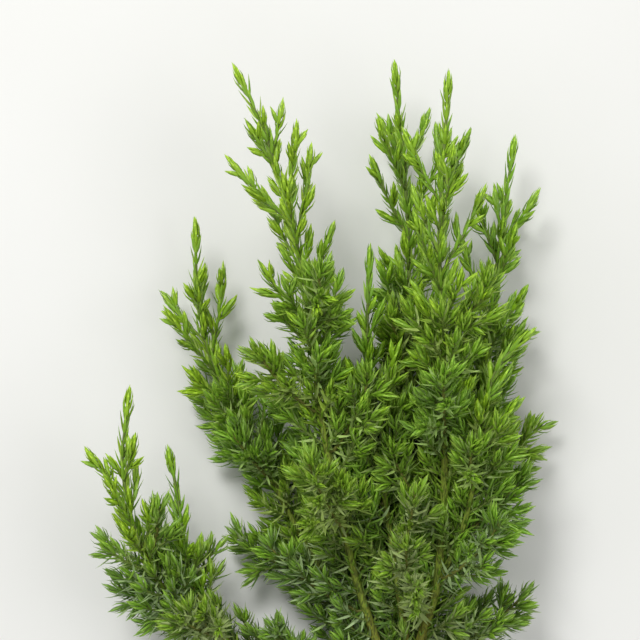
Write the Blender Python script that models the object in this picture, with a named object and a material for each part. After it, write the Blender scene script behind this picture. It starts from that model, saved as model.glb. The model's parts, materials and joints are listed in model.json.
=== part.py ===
"""A cut branch of Chinese juniper, lying on its side as cut.

The stem runs from a flat saw cut to the right-hand leader. Seven boughs leave it, one
of them with a fork, and turn up beside each other, as the leaders of an upright
juniper do. Each limb carries sprays of foliage along its sides and ends in a crown.

The frame is in metres: +Y from the cut end to the tips, +X to the right, +Z up.
The branch lies on the plane z = 0, with the origin under the middle of its box.
"""

import math
import random
from typing import NamedTuple

import bpy
import numpy as np

MM = 0.001

# The branch
CUT_END = np.array((34.0, -168.0, 0.0)) * MM  # on the floor under the saw cut
GAP = 0.35 * MM  # daylight between solids that meet
LIMB_STEP = 10.0 * MM
LIMB_SIDES = 7
TURN = math.radians(137.5)  # between one side branch and the next round its parent

# How a branch that comes near the floor bends along it
FLOOR_CLEARANCE = 2.4 * MM
FLOOR_SOFTNESS = 3.5 * MM

# The room between one mass and the next
SPACE_MARGIN = 0.3 * MM
SHORTENINGS = (1.0, 0.75, 0.5)  # lengths to try where there is little room
SHORTEST_BRANCH = 7.0 * MM
SPINE_CLEARANCE = 7.0 * MM  # between a spray's spine and whatever stands in its way
SPRAY_TRIES = 6  # directions to try round the limb, for one with enough room
ENOUGH_ROOM = 0.8  # share of the spray's length

# The needles, which stand in threes. These are larger than life.
NEEDLE_LENGTH = 7.5 * MM
NEEDLE_FOOT = 1.3 * MM  # length along the core of the face that a needle stands on
YOUNG_ANGLE = math.radians(27)  # between a core and the needles on a crown
OLD_ANGLE = math.radians(48)  # and on a spray
TIP_ANGLE = math.radians(17)  # and at every tip, where they close into a bundle
LOWEST_TIP = 0.2 * MM  # above the floor

BARK = ((0.20, 0.115, 0.05), 0.8)  # colour and roughness
OLD_GREEN = ((0.10, 0.19, 0.045), 0.55)
YOUNG_GREEN = ((0.27, 0.42, 0.08), 0.5)


class Limb(NamedTuple):
    """A stem or bough. The route's points are mm right of, along and above the cut."""

    name: str
    parent: str
    route: tuple
    foot: float  # radius where it starts, mm
    tip: float  # radius where its crown takes over, mm
    crown: float  # length of the crown that ends it, mm
    sprays: int
    bare: float  # length next to the foot with no spray, mm
    longest: float  # length of its longest spray, mm
    first_turn: float  # direction of the lowest spray round the limb, degrees


LIMBS = (
    Limb(
        "stem",
        "",
        ((0, 0, 3.8), (3, 40, 13), (14, 70, 25), (22, 110, 39), (23, 185, 57), (20, 252, 67),
         (24, 328, 72)),
        3.6, 1.2, 112, 8, 50, 66, 350,
    ),
    Limb(
        "left_bough",
        "stem",
        ((2.6, 36, 12), (-8, 68, 23), (-19, 104, 36), (-32, 165, 52), (-42, 240, 64),
         (-58, 298, 68), (-73, 331, 72)),
        2.5, 1.2, 118, 8, 40, 64, 190,
    ),
    Limb(
        "middle_bough",
        "stem",
        ((8, 58, 20), (3, 88, 31), (-4, 135, 41), (-12, 192, 48), (-11, 251, 55)),
        1.9, 1.1, 66, 4, 42, 48, 60,
    ),
    Limb(
        "right_bough",
        "stem",
        ((19, 93, 32), (29, 112, 42), (36, 140, 50), (44, 190, 60), (64, 213, 63)),
        1.8, 1.0, 56, 3, 20, 44, 330,
    ),
    Limb(
        "low_left_bough",
        "stem",
        ((0.7, 18, 7), (-28, 38, 17), (-68, 62, 32), (-106, 94, 46), (-123, 142, 52),
         (-120, 186, 56)),
        2.4, 1.1, 74, 5, 40, 50, 40,
    ),
    Limb(
        "low_left_fork",
        "low_left_bough",
        ((-80, 71, 36), (-93, 96, 38), (-99, 132, 36), (-104, 159, 38)),
        1.5, 1.0, 56, 1, 12, 32, 240,
    ),
    Limb(
        "back_bough",
        "stem",
        ((5, 48, 16), (5, 90, 19), (8, 180, 21), (7, 262, 24), (0.5, 336, 33)),
        2.1, 1.1, 104, 4, 50, 58, 200,
    ),
    Limb(
        "back_left_bough",
        "stem",
        ((1.5, 28, 10), (-13, 60, 15), (-53, 135, 19), (-87, 205, 21), (-92, 264, 26)),
        2.1, 1.1, 84, 4, 56, 54, 190,
    ),
    Limb(
        "back_right_bough",
        "stem",
        ((14, 73, 25), (25, 105, 23), (38, 160, 21), (51, 260, 22), (57, 302, 26)),
        1.9, 1.1, 92, 3, 44, 54, 350,
    ),
)


class Order(NamedTuple):
    """How the side branches of one order stand on their parent."""

    angle: float  # between the parent and the side branch's foot
    rise: float  # share of the way that it turns to the parent's direction
    spacing: float
    first: float  # length next to the parent's foot with no side branch
    bare_tip: float  # length next to the parent's tip with none
    shortest: float  # length of the side branch next to the bare tip
    growth: float  # how much longer one is for each metre further down
    longest: float


SPRAY_ANGLE = math.radians(46)
SPRAY_RISE = 0.6
CROWN_TWIG = Order(
    math.radians(33), 0.35, 8.0 * MM, 5.0 * MM, 44.0 * MM, 25.0 * MM, 0.7, 44.0 * MM
)
SPRAY_TWIG = Order(
    math.radians(40), 0.5, 10.5 * MM, 7.0 * MM, 13.0 * MM, 14.0 * MM, 0.45, 32.0 * MM
)
SIDE_SHOOT = Order(
    math.radians(36), 0.5, 8.0 * MM, 6.0 * MM, 12.0 * MM, 9.5 * MM, 0.3, 15.0 * MM
)


class Core(NamedTuple):
    """Radii of a core: at its foot, along it, and at the bundle of needles at its tip."""

    foot: float
    body: float
    bundle: float


SPINE = Core(0.9 * MM, 1.1 * MM, 1.6 * MM)
TWIG = Core(0.6 * MM, 1.0 * MM, 1.5 * MM)
SHOOT = Core(0.5 * MM, 0.9 * MM, 1.4 * MM)
BUNDLE_LENGTH = 9.0 * MM
THREES_SPACING = 22.5 * MM  # between one three of needles and the next


class Mass(NamedTuple):
    """A spray or crown of foliage, and the line of the twig down its middle."""

    name: str
    spine: np.ndarray
    is_crown: bool


def length_of(points):
    return float(np.linalg.norm(np.diff(points, axis=0), axis=1).sum())


def unit(vector):
    return vector / np.linalg.norm(vector)


def evenly(points, step):
    """The same polyline, with points about a step apart."""
    along = np.concatenate(([0], np.cumsum(np.linalg.norm(np.diff(points, axis=0), axis=1))))
    wanted = np.linspace(0, along[-1], max(2, round(along[-1] / step) + 1))
    return np.stack([np.interp(wanted, along, points[:, axis]) for axis in range(3)], axis=1)


def flowing(route, step):
    """Evenly spaced points on a smooth curve through the route's points."""
    points = np.array(route, float)
    padded = np.vstack((2 * points[0] - points[1], points, 2 * points[-1] - points[-2]))
    t = np.linspace(0, 1, 24, endpoint=False)[:, None]
    stretches = [
        0.5
        * (
            2 * start
            + (end - before) * t
            + (2 * before - 5 * start + 4 * end - after) * t**2
            + (3 * start - before - 3 * end + after) * t**3
        )
        for before, start, end, after in zip(padded, padded[1:], padded[2:], padded[3:])
    ]
    return evenly(np.vstack((*stretches, points[-1])), step)


def place_on(points, distance):
    """The point and direction that far along a polyline."""
    steps = np.diff(points, axis=0)
    along = np.concatenate(([0], np.cumsum(np.linalg.norm(steps, axis=1))))
    index = int(np.clip(np.searchsorted(along, distance) - 1, 0, len(steps) - 1))
    share = (distance - along[index]) / (along[index + 1] - along[index])
    return points[index] + steps[index] * share, unit(steps[index])


def leaving(direction, angle, turn):
    """The direction at that angle from another. Turn 0 is to its right, and 90 degrees up."""
    right = unit(np.cross(direction, (0, 0, 1)))
    up = np.cross(right, direction)
    outward = math.cos(turn) * right + math.sin(turn) * up
    return math.cos(angle) * direction + math.sin(angle) * outward


def lifted(points):
    """The points with none near the floor, as a branch that lies on it bends."""
    height = points[:, 2] - FLOOR_CLEARANCE
    raised = FLOOR_SOFTNESS * np.log1p(np.exp(-np.abs(height) / FLOOR_SOFTNESS))
    raised += np.maximum(-height, 0)
    share = np.clip(np.arange(len(points)) / 2, 0, 1)  # the foot stays where it is
    return points + np.outer(raised * share, (0, 0, 1))


def bending(start, heading, towards, rise, length):
    """A branch that sets out in one direction and turns part of the way to another."""
    count = max(3, round(length / (6 * MM)))
    shares = np.arange(count)[:, None] / (count - 1)
    headings = heading + (towards - heading) * rise * shares
    headings /= np.linalg.norm(headings, axis=1)[:, None]
    return lifted(np.vstack((start, start + np.cumsum(headings, axis=0) * length / count)))


def axis_of(limb):
    """The whole line of a limb, from its foot to the tip of its crown."""
    return flowing([CUT_END + np.array(point) * MM for point in limb.route], LIMB_STEP)


LIMB_NAMED = {limb.name: limb for limb in LIMBS}
AXES = {limb.name: axis_of(limb) for limb in LIMBS}
WOODY = {limb.name: length_of(AXES[limb.name]) - limb.crown * MM for limb in LIMBS}


def radius_at(limb, distance):
    """The limb's radius that far from its foot."""
    share = min(distance / WOODY[limb.name], 1)
    return (limb.foot + (limb.tip - limb.foot) * share**0.7) * MM


def wood_of(limb, step):
    """The line and the radii of the limb's bare wood, up to its crown."""
    count = round(WOODY[limb.name] / step) + 1
    places = np.linspace(0, WOODY[limb.name], count)
    points = np.array([place_on(AXES[limb.name], place)[0] for place in places])
    return points, np.array([radius_at(limb, place) for place in places])


def crown_of(limb):
    """The crown that takes over from the limb's tip."""
    whole = length_of(AXES[limb.name])
    places = np.linspace(WOODY[limb.name] + GAP, whole, round(limb.crown / 6))
    spine = np.array([place_on(AXES[limb.name], place)[0] for place in places])
    return Mass(f"{limb.name}_crown", spine, True)


def spray_on(limb, name, distance, turn, length):
    """A spray that leaves the limb that far along it, in that direction round it."""
    centre, direction = place_on(AXES[limb.name], distance)
    heading = leaving(direction, SPRAY_ANGLE, turn)
    width = radius_at(limb, distance) + GAP + SPINE.foot * math.cos(SPRAY_ANGLE)
    start = centre + heading * width / math.sin(SPRAY_ANGLE)
    return Mass(name, bending(start, heading, direction, SPRAY_RISE, length), False)


def nearest(points, others):
    """The distance from each point to the nearest of the others."""
    return np.linalg.norm(points[:, None] - others[None], axis=2).min(axis=1)


def kept_short(mass, taken):
    """The mass, with its spine ended where it would run into a limb or another spine."""
    close = np.flatnonzero(nearest(mass.spine, taken)[2:] < SPINE_CLEARANCE)
    return mass._replace(spine=mass.spine[: close[0] + 2]) if len(close) else mass


def sprays_of(limb, masses):
    """The sprays on a limb, evenly spaced, each turned on to where there is room for it."""
    rng = random.Random(f"sprays of {limb.name}")
    spacing = (WOODY[limb.name] - limb.bare * MM) / limb.sprays
    turn = math.radians(limb.first_turn)
    taken = [wood_of(other, 2 * MM)[0] for other in LIMBS if other is not limb]
    taken = np.vstack(taken + [evenly(mass.spine, 2 * MM) for mass in masses])
    for index in range(limb.sprays):
        distance = limb.bare * MM + (index + rng.uniform(0.3, 0.7)) * spacing
        height = index / max(limb.sprays - 1, 1)
        length = limb.longest * MM * (1 - 0.35 * height) * rng.uniform(0.88, 1.08)
        name = f"{limb.name}_spray_{index + 1}"
        best = None
        for _ in range(SPRAY_TRIES):
            spray = kept_short(spray_on(limb, name, distance, turn, length), taken)
            if best is None or length_of(spray.spine) > length_of(best.spine):
                best = spray
            turn += TURN
            if length_of(best.spine) > ENOUGH_ROOM * length:
                break
        taken = np.vstack((taken, evenly(best.spine, 2 * MM)))
        yield best


def grown_masses():
    """All crowns, then all sprays, with each spine clear of what came before it."""
    masses = [crown_of(limb) for limb in LIMBS]
    for limb in LIMBS:
        masses += list(sprays_of(limb, masses))
    return masses


class Space:
    """The room that a mass keeps to: what is nearer to its spine than to any other."""

    def __init__(self, mass, masses):
        step = 1.5 * MM
        self.own = evenly(mass.spine, step)
        self.others = np.vstack(
            [evenly(other.spine, step) for other in masses if other is not mass]
        )
        wood = [wood_of(limb, step) for limb in LIMBS]
        self.wood = np.vstack([points for points, _ in wood])
        self.wood_radii = np.concatenate([radii for _, radii in wood])

    def holds(self, points, radius):
        """Whether a solid of that radius round these points stays inside."""
        points = np.atleast_2d(points)
        room = nearest(points, self.others) - nearest(points, self.own)
        to_wood = np.linalg.norm(points[:, None] - self.wood[None], axis=2) - self.wood_radii
        return bool(
            room.min() > 2 * (radius + SPACE_MARGIN)
            and to_wood.min() > radius + SPACE_MARGIN
            and points[:, 2].min() > radius
        )


def side_branches(parent, order, space, core, rng):
    """The side branches of one order on a parent, longer the further from its tip."""
    whole = length_of(parent)
    turn = rng.uniform(0, math.tau)
    left = order.bare_tip
    while left < whole - order.first:
        start, direction = place_on(parent, whole - left)
        turn += TURN + rng.uniform(-0.25, 0.25)
        heading = leaving(direction, order.angle * rng.uniform(0.9, 1.1), turn)
        length = order.shortest + order.growth * (left - order.bare_tip)
        length = min(length, order.longest) * rng.uniform(0.88, 1.12)
        for share in SHORTENINGS:
            path = bending(start, heading, direction, order.rise, length * share)
            if length * share > SHORTEST_BRANCH and space.holds(path[1:], core.bundle):
                yield path
                break
        left += order.spacing * rng.uniform(0.85, 1.15)


def radius_along(core, distance, whole):
    """The core's radius that far along it."""
    bundle = min(BUNDLE_LENGTH, whole / 2)
    places = (0, min(6 * MM, whole / 3), whole - bundle, whole - 0.5 * bundle, whole)
    return float(np.interp(distance, places, (core.foot, core.body, core.body, core.bundle, 0)))


def ring(centre, direction, side, radius, twist, sides):
    """The corners of a regular polygon square to a direction, counted from the side given."""
    side = unit(side - direction * (side @ direction))
    other = np.cross(direction, side)
    angles = twist + np.arange(sides) * math.tau / sides
    return centre + radius * (np.outer(np.cos(angles), side) + np.outer(np.sin(angles), other))


def mesh_object(name, verts, faces):
    mesh = bpy.data.meshes.new(name)
    mesh.from_pydata([tuple(vert) for vert in verts], [], faces)
    return bpy.data.objects.new(name, mesh)


def needled(path, core, angle, space, rng):
    """A slim three-sided core along a path, with needles that stand out of it in threes.

    A needle is a pyramid on one face of the core. Each three is turned half a face on
    from the last, so the core between them is a band of six triangles.
    """
    whole = length_of(path)
    threes = max(1, round(whole / THREES_SPACING))
    twist = rng.uniform(0, math.tau)
    centre, direction = place_on(path, 0)
    side = unit(np.cross(direction, (0.31, 0.17, 0.93)))
    verts = list(ring(centre, direction, side, core.foot, twist, 3))
    faces = [(2, 1, 0)]
    last = (0, 1, 2)
    for index in range(threes):
        distance = whole * (index + 0.62) / (threes + 0.24)
        twist += math.pi / 3
        for place in (distance, distance + NEEDLE_FOOT):
            centre, direction = place_on(path, place)
            side = unit(side - direction * (side @ direction))
            radius = radius_along(core, place, whole)
            verts += list(ring(centre, direction, side, radius, twist, 3))
        at_tip = index == threes - 1
        reach = min(NEEDLE_LENGTH, whole - distance + NEEDLE_FOOT) if at_tip else NEEDLE_LENGTH
        count = len(verts)
        below, above = range(count - 6, count - 3), range(count - 3, count)
        for here, across in ((0, 1), (1, 2), (2, 0)):
            faces.append((last[here], last[across], below[here]))
            faces.append((last[across], below[across], below[here]))
            root = (below[here], below[across], above[across], above[here])
            heading = (direction, TIP_ANGLE if at_tip else angle)
            faces += needle_on(root, verts, centre, *heading, reach * rng.uniform(0.85, 1.1), space)
        last = above
    verts.append(path[-1])
    faces += [(last[here], last[(here + 1) % 3], len(verts) - 1) for here in range(3)]
    return mesh_object("core", verts, faces)


def needle_on(root, verts, centre, direction, angle, length, space):
    """The faces of a needle on a four-cornered root, or the bare root where it has no room."""
    middle = sum(verts[corner] for corner in root) / 4
    outward = unit(middle - centre - direction * ((middle - centre) @ direction))
    tip = middle + (math.cos(angle) * direction + math.sin(angle) * outward) * length
    tip[2] = max(tip[2], LOWEST_TIP)
    if not (space.holds(tip, LOWEST_TIP / 2) and space.holds((middle + tip) / 2, 0.5 * MM)):
        return [root]
    verts.append(tip)
    return [(root[corner], root[(corner + 1) % 4], len(verts) - 1) for corner in range(4)]


def tapered(name, points, radii, square_to_y=False):
    """A closed tube with flat ends, the first one square to +Y where that is asked."""
    directions = [unit(direction) for direction in np.gradient(points, axis=0)]
    rings = [
        ring(point, direction, np.array((1.0, 0, 0)), radius, 0, LIMB_SIDES)
        for point, direction, radius in zip(points, directions, radii)
    ]
    if square_to_y:
        rings[0][:, 1] = points[0][1]
    faces = [tuple(reversed(range(LIMB_SIDES)))]
    for first in range(0, LIMB_SIDES * (len(points) - 1), LIMB_SIDES):
        for side in range(LIMB_SIDES):
            here, across = first + side, first + (side + 1) % LIMB_SIDES
            faces.append((here, across, across + LIMB_SIDES, here + LIMB_SIDES))
    faces.append(tuple(range(LIMB_SIDES * (len(points) - 1), LIMB_SIDES * len(points))))
    return mesh_object(name, np.vstack(rings), faces)


def largest_body(mesh):
    """The mesh without loose scraps: only its largest connected body."""
    neighbours = [[] for _ in mesh.vertices]
    for edge in mesh.edges:
        first, second = edge.vertices
        neighbours[first].append(second)
        neighbours[second].append(first)
    body = np.full(len(neighbours), -1)
    for seed in range(len(neighbours)):
        waiting = [seed] if body[seed] < 0 else []
        while waiting:
            vertex = waiting.pop()
            if body[vertex] < 0:
                body[vertex] = seed
                waiting += neighbours[vertex]
    kept = np.bincount(body).argmax()
    if (body == kept).all():
        return mesh
    faces = [tuple(f.vertices) for f in mesh.polygons if body[f.vertices[0]] == kept]
    used = sorted({vertex for face in faces for vertex in face})
    renumbered = {vertex: index for index, vertex in enumerate(used)}
    clean = bpy.data.meshes.new(mesh.name)
    clean.from_pydata(
        [tuple(mesh.vertices[vertex].co) for vertex in used],
        [],
        [tuple(renumbered[vertex] for vertex in face) for face in faces],
    )
    return clean


def joined(name, solids):
    """One mesh from overlapping solids, by a Boolean union on their collection."""
    base = solids[0]
    others = bpy.data.collections.new(name + "_pieces")
    bpy.context.scene.collection.objects.link(base)
    bpy.context.scene.collection.children.link(others)
    for solid in solids[1:]:
        others.objects.link(solid)
    union = base.modifiers.new("union", "BOOLEAN")
    union.operation = "UNION"
    union.operand_type = "COLLECTION"
    union.collection = others
    union.solver = "EXACT"
    graph = bpy.context.evaluated_depsgraph_get()
    mesh = bpy.data.meshes.new_from_object(base.evaluated_get(graph))
    for solid in solids:
        bpy.data.objects.remove(solid)
    bpy.data.collections.remove(others)
    return largest_body(mesh)


def material(name, look):
    colour, roughness = look
    made = bpy.data.materials.new(name)
    made.use_nodes = True
    shader = made.node_tree.nodes["Principled BSDF"]
    shader.inputs["Base Color"].default_value = (*colour, 1)
    shader.inputs["Roughness"].default_value = roughness
    shader.inputs["Metallic"].default_value = 0
    return made


def limb_solid(limb, look):
    """The wood of a limb. A bough's foot is cut to its parent's side, just clear of it."""
    bough = tapered(limb.name, *wood_of(limb, LIMB_STEP), square_to_y=not limb.parent)
    bough.data.materials.append(look)
    bpy.context.scene.collection.objects.link(bough)
    if limb.parent:
        line, radii = wood_of(LIMB_NAMED[limb.parent], LIMB_STEP)
        cutter = tapered(f"{limb.name}_cutter", line, radii + GAP)
        bpy.context.scene.collection.objects.link(cutter)
        cutter.hide_render = True
        cutter.display_type = "WIRE"
        cut = bough.modifiers.new("foot", "BOOLEAN")
        cut.operation = "DIFFERENCE"
        cut.object = cutter


def mass_solid(mass, masses, look):
    """A spray or crown: its spine, twigs and shoots fused into one solid."""
    space = Space(mass, masses)
    rng = random.Random(f"growth of {mass.name}")
    needles = (YOUNG_ANGLE if mass.is_crown else OLD_ANGLE, space, random.Random(mass.name))
    order = CROWN_TWIG if mass.is_crown else SPRAY_TWIG
    solids = [needled(mass.spine, SPINE, *needles)]
    for twig in side_branches(mass.spine, order, space, TWIG, rng):
        solids.append(needled(twig, TWIG, *needles))
        for shoot in side_branches(twig, SIDE_SHOOT, space, SHOOT, rng):
            solids.append(needled(shoot, SHOOT, *needles))
    mesh = joined(mass.name, solids)
    mesh.name = mass.name
    mesh.materials.clear()
    mesh.materials.append(look)
    bpy.context.scene.collection.objects.link(bpy.data.objects.new(mass.name, mesh))


def main():
    for obj in list(bpy.data.objects):
        bpy.data.objects.remove(obj)
    bark = material("bark", BARK)
    old, young = material("old_needles", OLD_GREEN), material("young_needles", YOUNG_GREEN)
    for limb in LIMBS:
        limb_solid(limb, bark)
    masses = grown_masses()
    for mass in masses:
        mass_solid(mass, masses, young if mass.is_crown else old)


main()
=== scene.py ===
"""The looks of a cut branch of Chinese juniper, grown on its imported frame.

The first half of the script is the growth rule of the part, written again: the limbs,
the sprays and the crowns stand where their solids do, down to the same random draws.
The second half carries each mass on to finer twigs inside the same room, sets short
twigs on the wood of the limbs, gives every twig its needles in threes, and puts bark
with real relief on the stem and boughs.
"""

import json
import math
import random
from typing import NamedTuple

import bpy
import numpy as np
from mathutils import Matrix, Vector

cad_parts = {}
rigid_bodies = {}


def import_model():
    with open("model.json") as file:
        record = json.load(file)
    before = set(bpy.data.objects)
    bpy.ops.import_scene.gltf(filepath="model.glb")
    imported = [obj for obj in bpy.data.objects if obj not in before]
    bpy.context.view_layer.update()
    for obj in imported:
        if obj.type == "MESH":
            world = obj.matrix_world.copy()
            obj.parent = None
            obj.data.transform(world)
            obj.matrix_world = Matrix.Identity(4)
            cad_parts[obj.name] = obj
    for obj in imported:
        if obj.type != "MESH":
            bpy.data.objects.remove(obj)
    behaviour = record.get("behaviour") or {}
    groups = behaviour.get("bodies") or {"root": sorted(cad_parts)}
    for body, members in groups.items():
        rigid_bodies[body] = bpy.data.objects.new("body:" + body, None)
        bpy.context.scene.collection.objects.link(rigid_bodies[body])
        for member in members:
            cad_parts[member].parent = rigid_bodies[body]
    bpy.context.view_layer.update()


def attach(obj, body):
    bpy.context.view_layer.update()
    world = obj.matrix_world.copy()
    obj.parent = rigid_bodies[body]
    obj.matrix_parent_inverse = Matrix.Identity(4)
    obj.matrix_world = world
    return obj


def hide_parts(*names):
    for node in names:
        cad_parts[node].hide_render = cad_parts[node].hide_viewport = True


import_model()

MM = 0.001

# The branch
CUT_END = np.array((34.0, -168.0, 0.0)) * MM  # on the floor under the saw cut
BRANCH_LENGTH = -2 * CUT_END[1]  # its tips lie as far from the middle as its cut
GAP = 0.35 * MM  # daylight between solids that meet
LIMB_STEP = 10.0 * MM
LIMB_TAPER = 0.7  # the power of the distance that a limb's radius falls with
CURVE_POINTS = 24  # on a smooth curve, between two points of its route
BEND_STEP = 6.0 * MM  # between the points of a bending branch
FEWEST_POINTS = 3  # on a branch
CROWN_STEP = 6.0  # mm between the points of a crown's spine
TURN = math.radians(137.5)  # between one side branch and the next round its parent

# How a branch that comes near the floor bends along it
FLOOR_CLEARANCE = 2.4 * MM
FLOOR_SOFTNESS = 3.5 * MM
FOOT_POINTS = 2  # over which it leaves its foot, which stays where it is

# The room between one mass and the next
SURVEY_STEP = 2.0 * MM  # between the points on an axis that distances are taken from
SPACE_STEP = 1.5 * MM
SPACE_MARGIN = 0.3 * MM
SHORTENINGS = (1.0, 0.75, 0.5)  # lengths to try where there is little room
SHORTEST_BRANCH = 7.0 * MM
SPINE_CLEARANCE = 7.0 * MM  # between a spray's spine and whatever stands in its way
SPINE_START = 2  # points at a spine's foot, which may be closer
SPRAY_TRIES = 6  # directions to try round the limb, for one with enough room
ENOUGH_ROOM = 0.8  # share of the spray's length
SPINE_FOOT = 0.9 * MM  # radius of a spray's spine where it starts
TWIG_ROOM = 1.5 * MM  # radius of the room that a twig of the solids needs
SHOOT_ROOM = 1.4 * MM

# How much sprays and side branches differ
SPRAY_PLACES = (0.3, 0.7)  # share of a spacing at which its spray stands
SPRAY_LENGTHS = (0.88, 1.08)
SPRAY_SHORTENING = 0.35  # of the highest spray on a limb
TURN_JITTER = 0.25
ANGLE_SPREAD = (0.9, 1.1)
BRANCH_LENGTHS = (0.88, 1.12)
SPACING_SPREAD = (0.85, 1.15)


class Limb(NamedTuple):
    """A stem or bough. The route's points are mm right of, along and above the cut."""

    name: str
    parent: str
    route: tuple
    foot: float  # radius where it starts, mm
    tip: float  # radius where its crown takes over, mm
    crown: float  # length of the crown that ends it, mm
    sprays: int
    bare: float  # length next to the foot with no spray, mm
    longest: float  # length of its longest spray, mm
    first_turn: float  # direction of the lowest spray round the limb, degrees


LIMBS = (
    Limb(
        "stem",
        "",
        ((0, 0, 3.8), (3, 40, 13), (14, 70, 25), (22, 110, 39), (23, 185, 57), (20, 252, 67),
         (24, 328, 72)),
        3.6, 1.2, 112, 8, 50, 66, 350,
    ),
    Limb(
        "left_bough",
        "stem",
        ((2.6, 36, 12), (-8, 68, 23), (-19, 104, 36), (-32, 165, 52), (-42, 240, 64),
         (-58, 298, 68), (-73, 331, 72)),
        2.5, 1.2, 118, 8, 40, 64, 190,
    ),
    Limb(
        "middle_bough",
        "stem",
        ((8, 58, 20), (3, 88, 31), (-4, 135, 41), (-12, 192, 48), (-11, 251, 55)),
        1.9, 1.1, 66, 4, 42, 48, 60,
    ),
    Limb(
        "right_bough",
        "stem",
        ((19, 93, 32), (29, 112, 42), (36, 140, 50), (44, 190, 60), (64, 213, 63)),
        1.8, 1.0, 56, 3, 20, 44, 330,
    ),
    Limb(
        "low_left_bough",
        "stem",
        ((0.7, 18, 7), (-28, 38, 17), (-68, 62, 32), (-106, 94, 46), (-123, 142, 52),
         (-120, 186, 56)),
        2.4, 1.1, 74, 5, 40, 50, 40,
    ),
    Limb(
        "low_left_fork",
        "low_left_bough",
        ((-80, 71, 36), (-93, 96, 38), (-99, 132, 36), (-104, 159, 38)),
        1.5, 1.0, 56, 1, 12, 32, 240,
    ),
    Limb(
        "back_bough",
        "stem",
        ((5, 48, 16), (5, 90, 19), (8, 180, 21), (7, 262, 24), (0.5, 336, 33)),
        2.1, 1.1, 104, 4, 50, 58, 200,
    ),
    Limb(
        "back_left_bough",
        "stem",
        ((1.5, 28, 10), (-13, 60, 15), (-53, 135, 19), (-87, 205, 21), (-92, 264, 26)),
        2.1, 1.1, 84, 4, 56, 54, 190,
    ),
    Limb(
        "back_right_bough",
        "stem",
        ((14, 73, 25), (25, 105, 23), (38, 160, 21), (51, 260, 22), (57, 302, 26)),
        1.9, 1.1, 92, 3, 44, 54, 350,
    ),
)


class Order(NamedTuple):
    """How the side branches of one order stand on their parent."""

    angle: float  # between the parent and the side branch's foot
    rise: float  # share of the way that it turns to the parent's direction
    spacing: float
    first: float  # length next to the parent's foot with no side branch
    bare_tip: float  # length next to the parent's tip with none
    shortest: float  # length of the side branch next to the bare tip
    growth: float  # how much longer one is for each metre further down
    longest: float


SPRAY_ANGLE = math.radians(46)
SPRAY_RISE = 0.6
CROWN_TWIG = Order(
    math.radians(33), 0.35, 8.0 * MM, 5.0 * MM, 44.0 * MM, 25.0 * MM, 0.7, 44.0 * MM
)
SPRAY_TWIG = Order(
    math.radians(40), 0.5, 10.5 * MM, 7.0 * MM, 13.0 * MM, 14.0 * MM, 0.45, 32.0 * MM
)
SIDE_SHOOT = Order(
    math.radians(36), 0.5, 8.0 * MM, 6.0 * MM, 12.0 * MM, 9.5 * MM, 0.3, 15.0 * MM
)


class Mass(NamedTuple):
    """A spray or crown of foliage, and the line of the twig down its middle."""

    name: str
    spine: np.ndarray
    is_crown: bool


def length_of(points):
    return float(np.linalg.norm(np.diff(points, axis=0), axis=1).sum())


def unit(vector):
    return vector / np.linalg.norm(vector)


def reached(points):
    """How far along a polyline each of its points is."""
    return np.concatenate(([0], np.cumsum(np.linalg.norm(np.diff(points, axis=0), axis=1))))


def evenly(points, step):
    """The same polyline, with points about a step apart."""
    along = reached(points)
    wanted = np.linspace(0, along[-1], max(2, round(along[-1] / step) + 1))
    return np.stack([np.interp(wanted, along, points[:, axis]) for axis in range(3)], axis=1)


def flowing(route, step):
    """Evenly spaced points on a smooth curve (a Catmull-Rom spline) through the route's."""
    points = np.array(route, float)
    padded = np.vstack((2 * points[0] - points[1], points, 2 * points[-1] - points[-2]))
    t = np.linspace(0, 1, CURVE_POINTS, endpoint=False)[:, None]
    stretches = [
        0.5
        * (
            2 * start
            + (end - before) * t
            + (2 * before - 5 * start + 4 * end - after) * t**2
            + (3 * start - before - 3 * end + after) * t**3
        )
        for before, start, end, after in zip(padded, padded[1:], padded[2:], padded[3:])
    ]
    return evenly(np.vstack((*stretches, points[-1])), step)


def place_on(points, distance):
    """The point and direction that far along a polyline."""
    steps = np.diff(points, axis=0)
    along = reached(points)
    index = int(np.clip(np.searchsorted(along, distance) - 1, 0, len(steps) - 1))
    share = (distance - along[index]) / (along[index + 1] - along[index])
    return points[index] + steps[index] * share, unit(steps[index])


def leaving(direction, angle, turn):
    """The direction at that angle from another. Turn 0 is to its right, and 90 degrees up."""
    right = unit(np.cross(direction, (0, 0, 1)))
    up = np.cross(right, direction)
    outward = math.cos(turn) * right + math.sin(turn) * up
    return math.cos(angle) * direction + math.sin(angle) * outward


def lifted(points):
    """The points with none near the floor, as a branch that lies on it bends."""
    height = points[:, 2] - FLOOR_CLEARANCE
    raised = FLOOR_SOFTNESS * np.log1p(np.exp(-np.abs(height) / FLOOR_SOFTNESS))
    raised += np.maximum(-height, 0)
    share = np.clip(np.arange(len(points)) / FOOT_POINTS, 0, 1)
    return points + np.outer(raised * share, (0, 0, 1))


def bending(start, heading, towards, rise, length):
    """A branch that sets out in one direction and turns part of the way to another."""
    count = max(FEWEST_POINTS, round(length / BEND_STEP))
    shares = np.arange(count)[:, None] / (count - 1)
    headings = heading + (towards - heading) * rise * shares
    headings /= np.linalg.norm(headings, axis=1)[:, None]
    return lifted(np.vstack((start, start + np.cumsum(headings, axis=0) * length / count)))


def axis_of(limb):
    """The whole line of a limb, from its foot to the tip of its crown."""
    return flowing([CUT_END + np.array(point) * MM for point in limb.route], LIMB_STEP)


LIMB_NAMED = {limb.name: limb for limb in LIMBS}
AXES = {limb.name: axis_of(limb) for limb in LIMBS}
WOODY = {limb.name: length_of(AXES[limb.name]) - limb.crown * MM for limb in LIMBS}


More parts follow.
